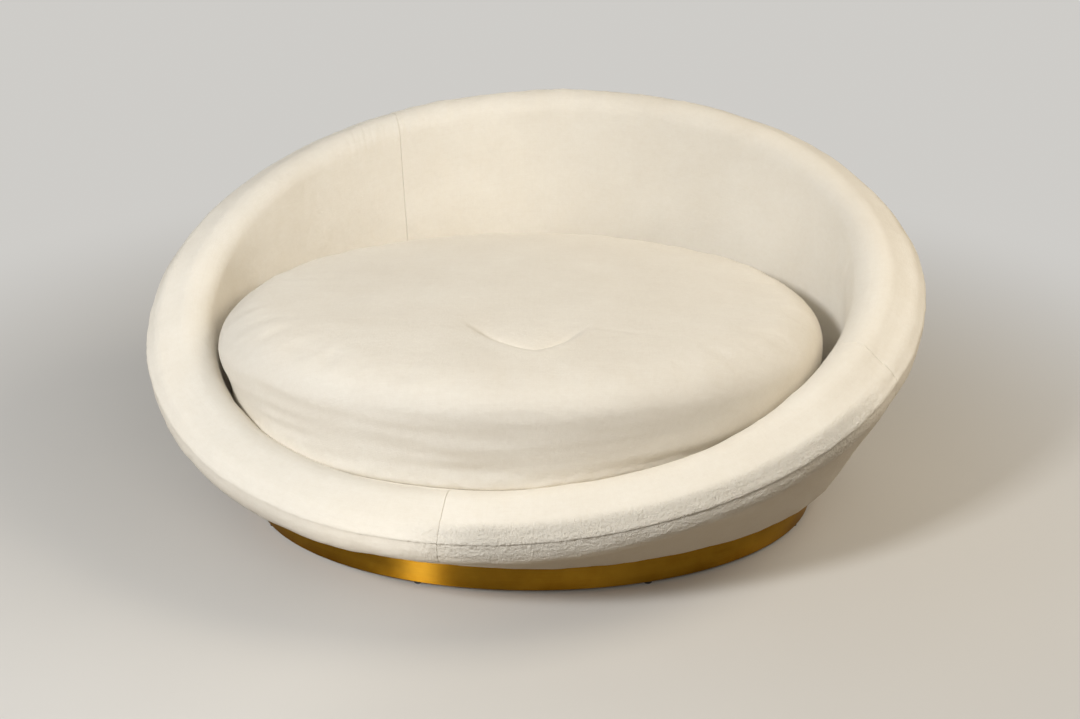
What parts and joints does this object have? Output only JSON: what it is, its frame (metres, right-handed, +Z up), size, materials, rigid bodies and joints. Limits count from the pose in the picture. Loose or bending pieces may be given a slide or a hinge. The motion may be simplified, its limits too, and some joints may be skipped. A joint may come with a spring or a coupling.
{
  "type": "chaise longue",
  "caption": "Oval upholstered lounge with a tilted padded rim that rises to the back, a loose oval seat cushion and a recessed brass-clad oval plinth.",
  "frame": {"origin": "on the floor, under the middle of the bounding box", "axes": "+X along the length, to the right of a person who looks at the open low front; +Y to the high back, so the front faces -Y; +Z up"},
  "size_m": [1.6573, 1.3044, 0.7399],
  "materials": {
    "brass": "satin",
    "steel": "satin",
    "nylon": "matte",
    "plywood": "matte",
    "ivory_cloth": "matte",
    "deck_cloth": "matte",
    "webbing": "matte",
    "zip_tape": "matte",
    "fibre": "matte",
    "foam": "matte"
  },
  "bodies": {
    "lounge": {"base_panel": "plywood", "bolt_washers": "steel", "brass_band": "brass", "crest_rail_back": "plywood", "crest_rail_front": "plywood", "crest_rail_left": "plywood", "crest_rail_right": "plywood", "deck_cover": "deck_cloth", "deck_pad": "foam", "inner_board_back": "plywood", "inner_board_left": "plywood", "inner_board_right": "plywood", "inside_cover_back": "ivory_cloth", "inside_cover_front": "ivory_cloth", "inside_cover_left": "ivory_cloth", "outer_board_back": "plywood", "outer_board_front": "plywood", "outer_board_left": "plywood", "outer_board_right": "plywood", "outside_cover_back": "ivory_cloth", "outside_cover_front": "ivory_cloth", "outside_cover_left": "ivory_cloth", "plinth_bolts": "steel", "plinth_glides": "nylon", "plinth_glue_blocks": "plywood", "plinth_hoop": "plywood", "plinth_top_board": "plywood", "rib_01": "plywood", "rib_02": "plywood", "rib_03": "plywood", "rib_04": "plywood", "rib_05": "plywood", "rib_06": "plywood", "rib_07": "plywood", "rib_08": "plywood", "rib_09": "plywood", "rib_10": "plywood", "rib_11": "plywood", "rib_12": "plywood", "rim_foam_1": "foam", "rim_foam_2": "foam", "rim_foam_3": "foam", "rim_foam_4": "foam", "rim_foam_5": "foam", "seat_ring": "plywood", "tee_nuts": "steel", "webbing_cross": "webbing", "webbing_long": "webbing"},
    "cushion": {"cushion_core": "foam", "cushion_crown_wrap": "fibre", "cushion_top_cover": "ivory_cloth", "cushion_bottom_cover": "ivory_cloth", "cushion_welt": "ivory_cloth", "zip_tape": "zip_tape", "zip_teeth": "zip_tape"},
    "zip_pull": {"zip_slider": "steel"}
  },
  "joints": [
    {"name": "cushion_lift", "type": "slide", "parent": "lounge", "child": "cushion", "axis": [0, 0, 1], "range_m": [0, 0.55]},
    {"name": "zip_slide", "type": "slide", "parent": "cushion", "child": "zip_pull", "axis": [1, 0, 0], "range_m": [0, 0.728]}
  ]
}
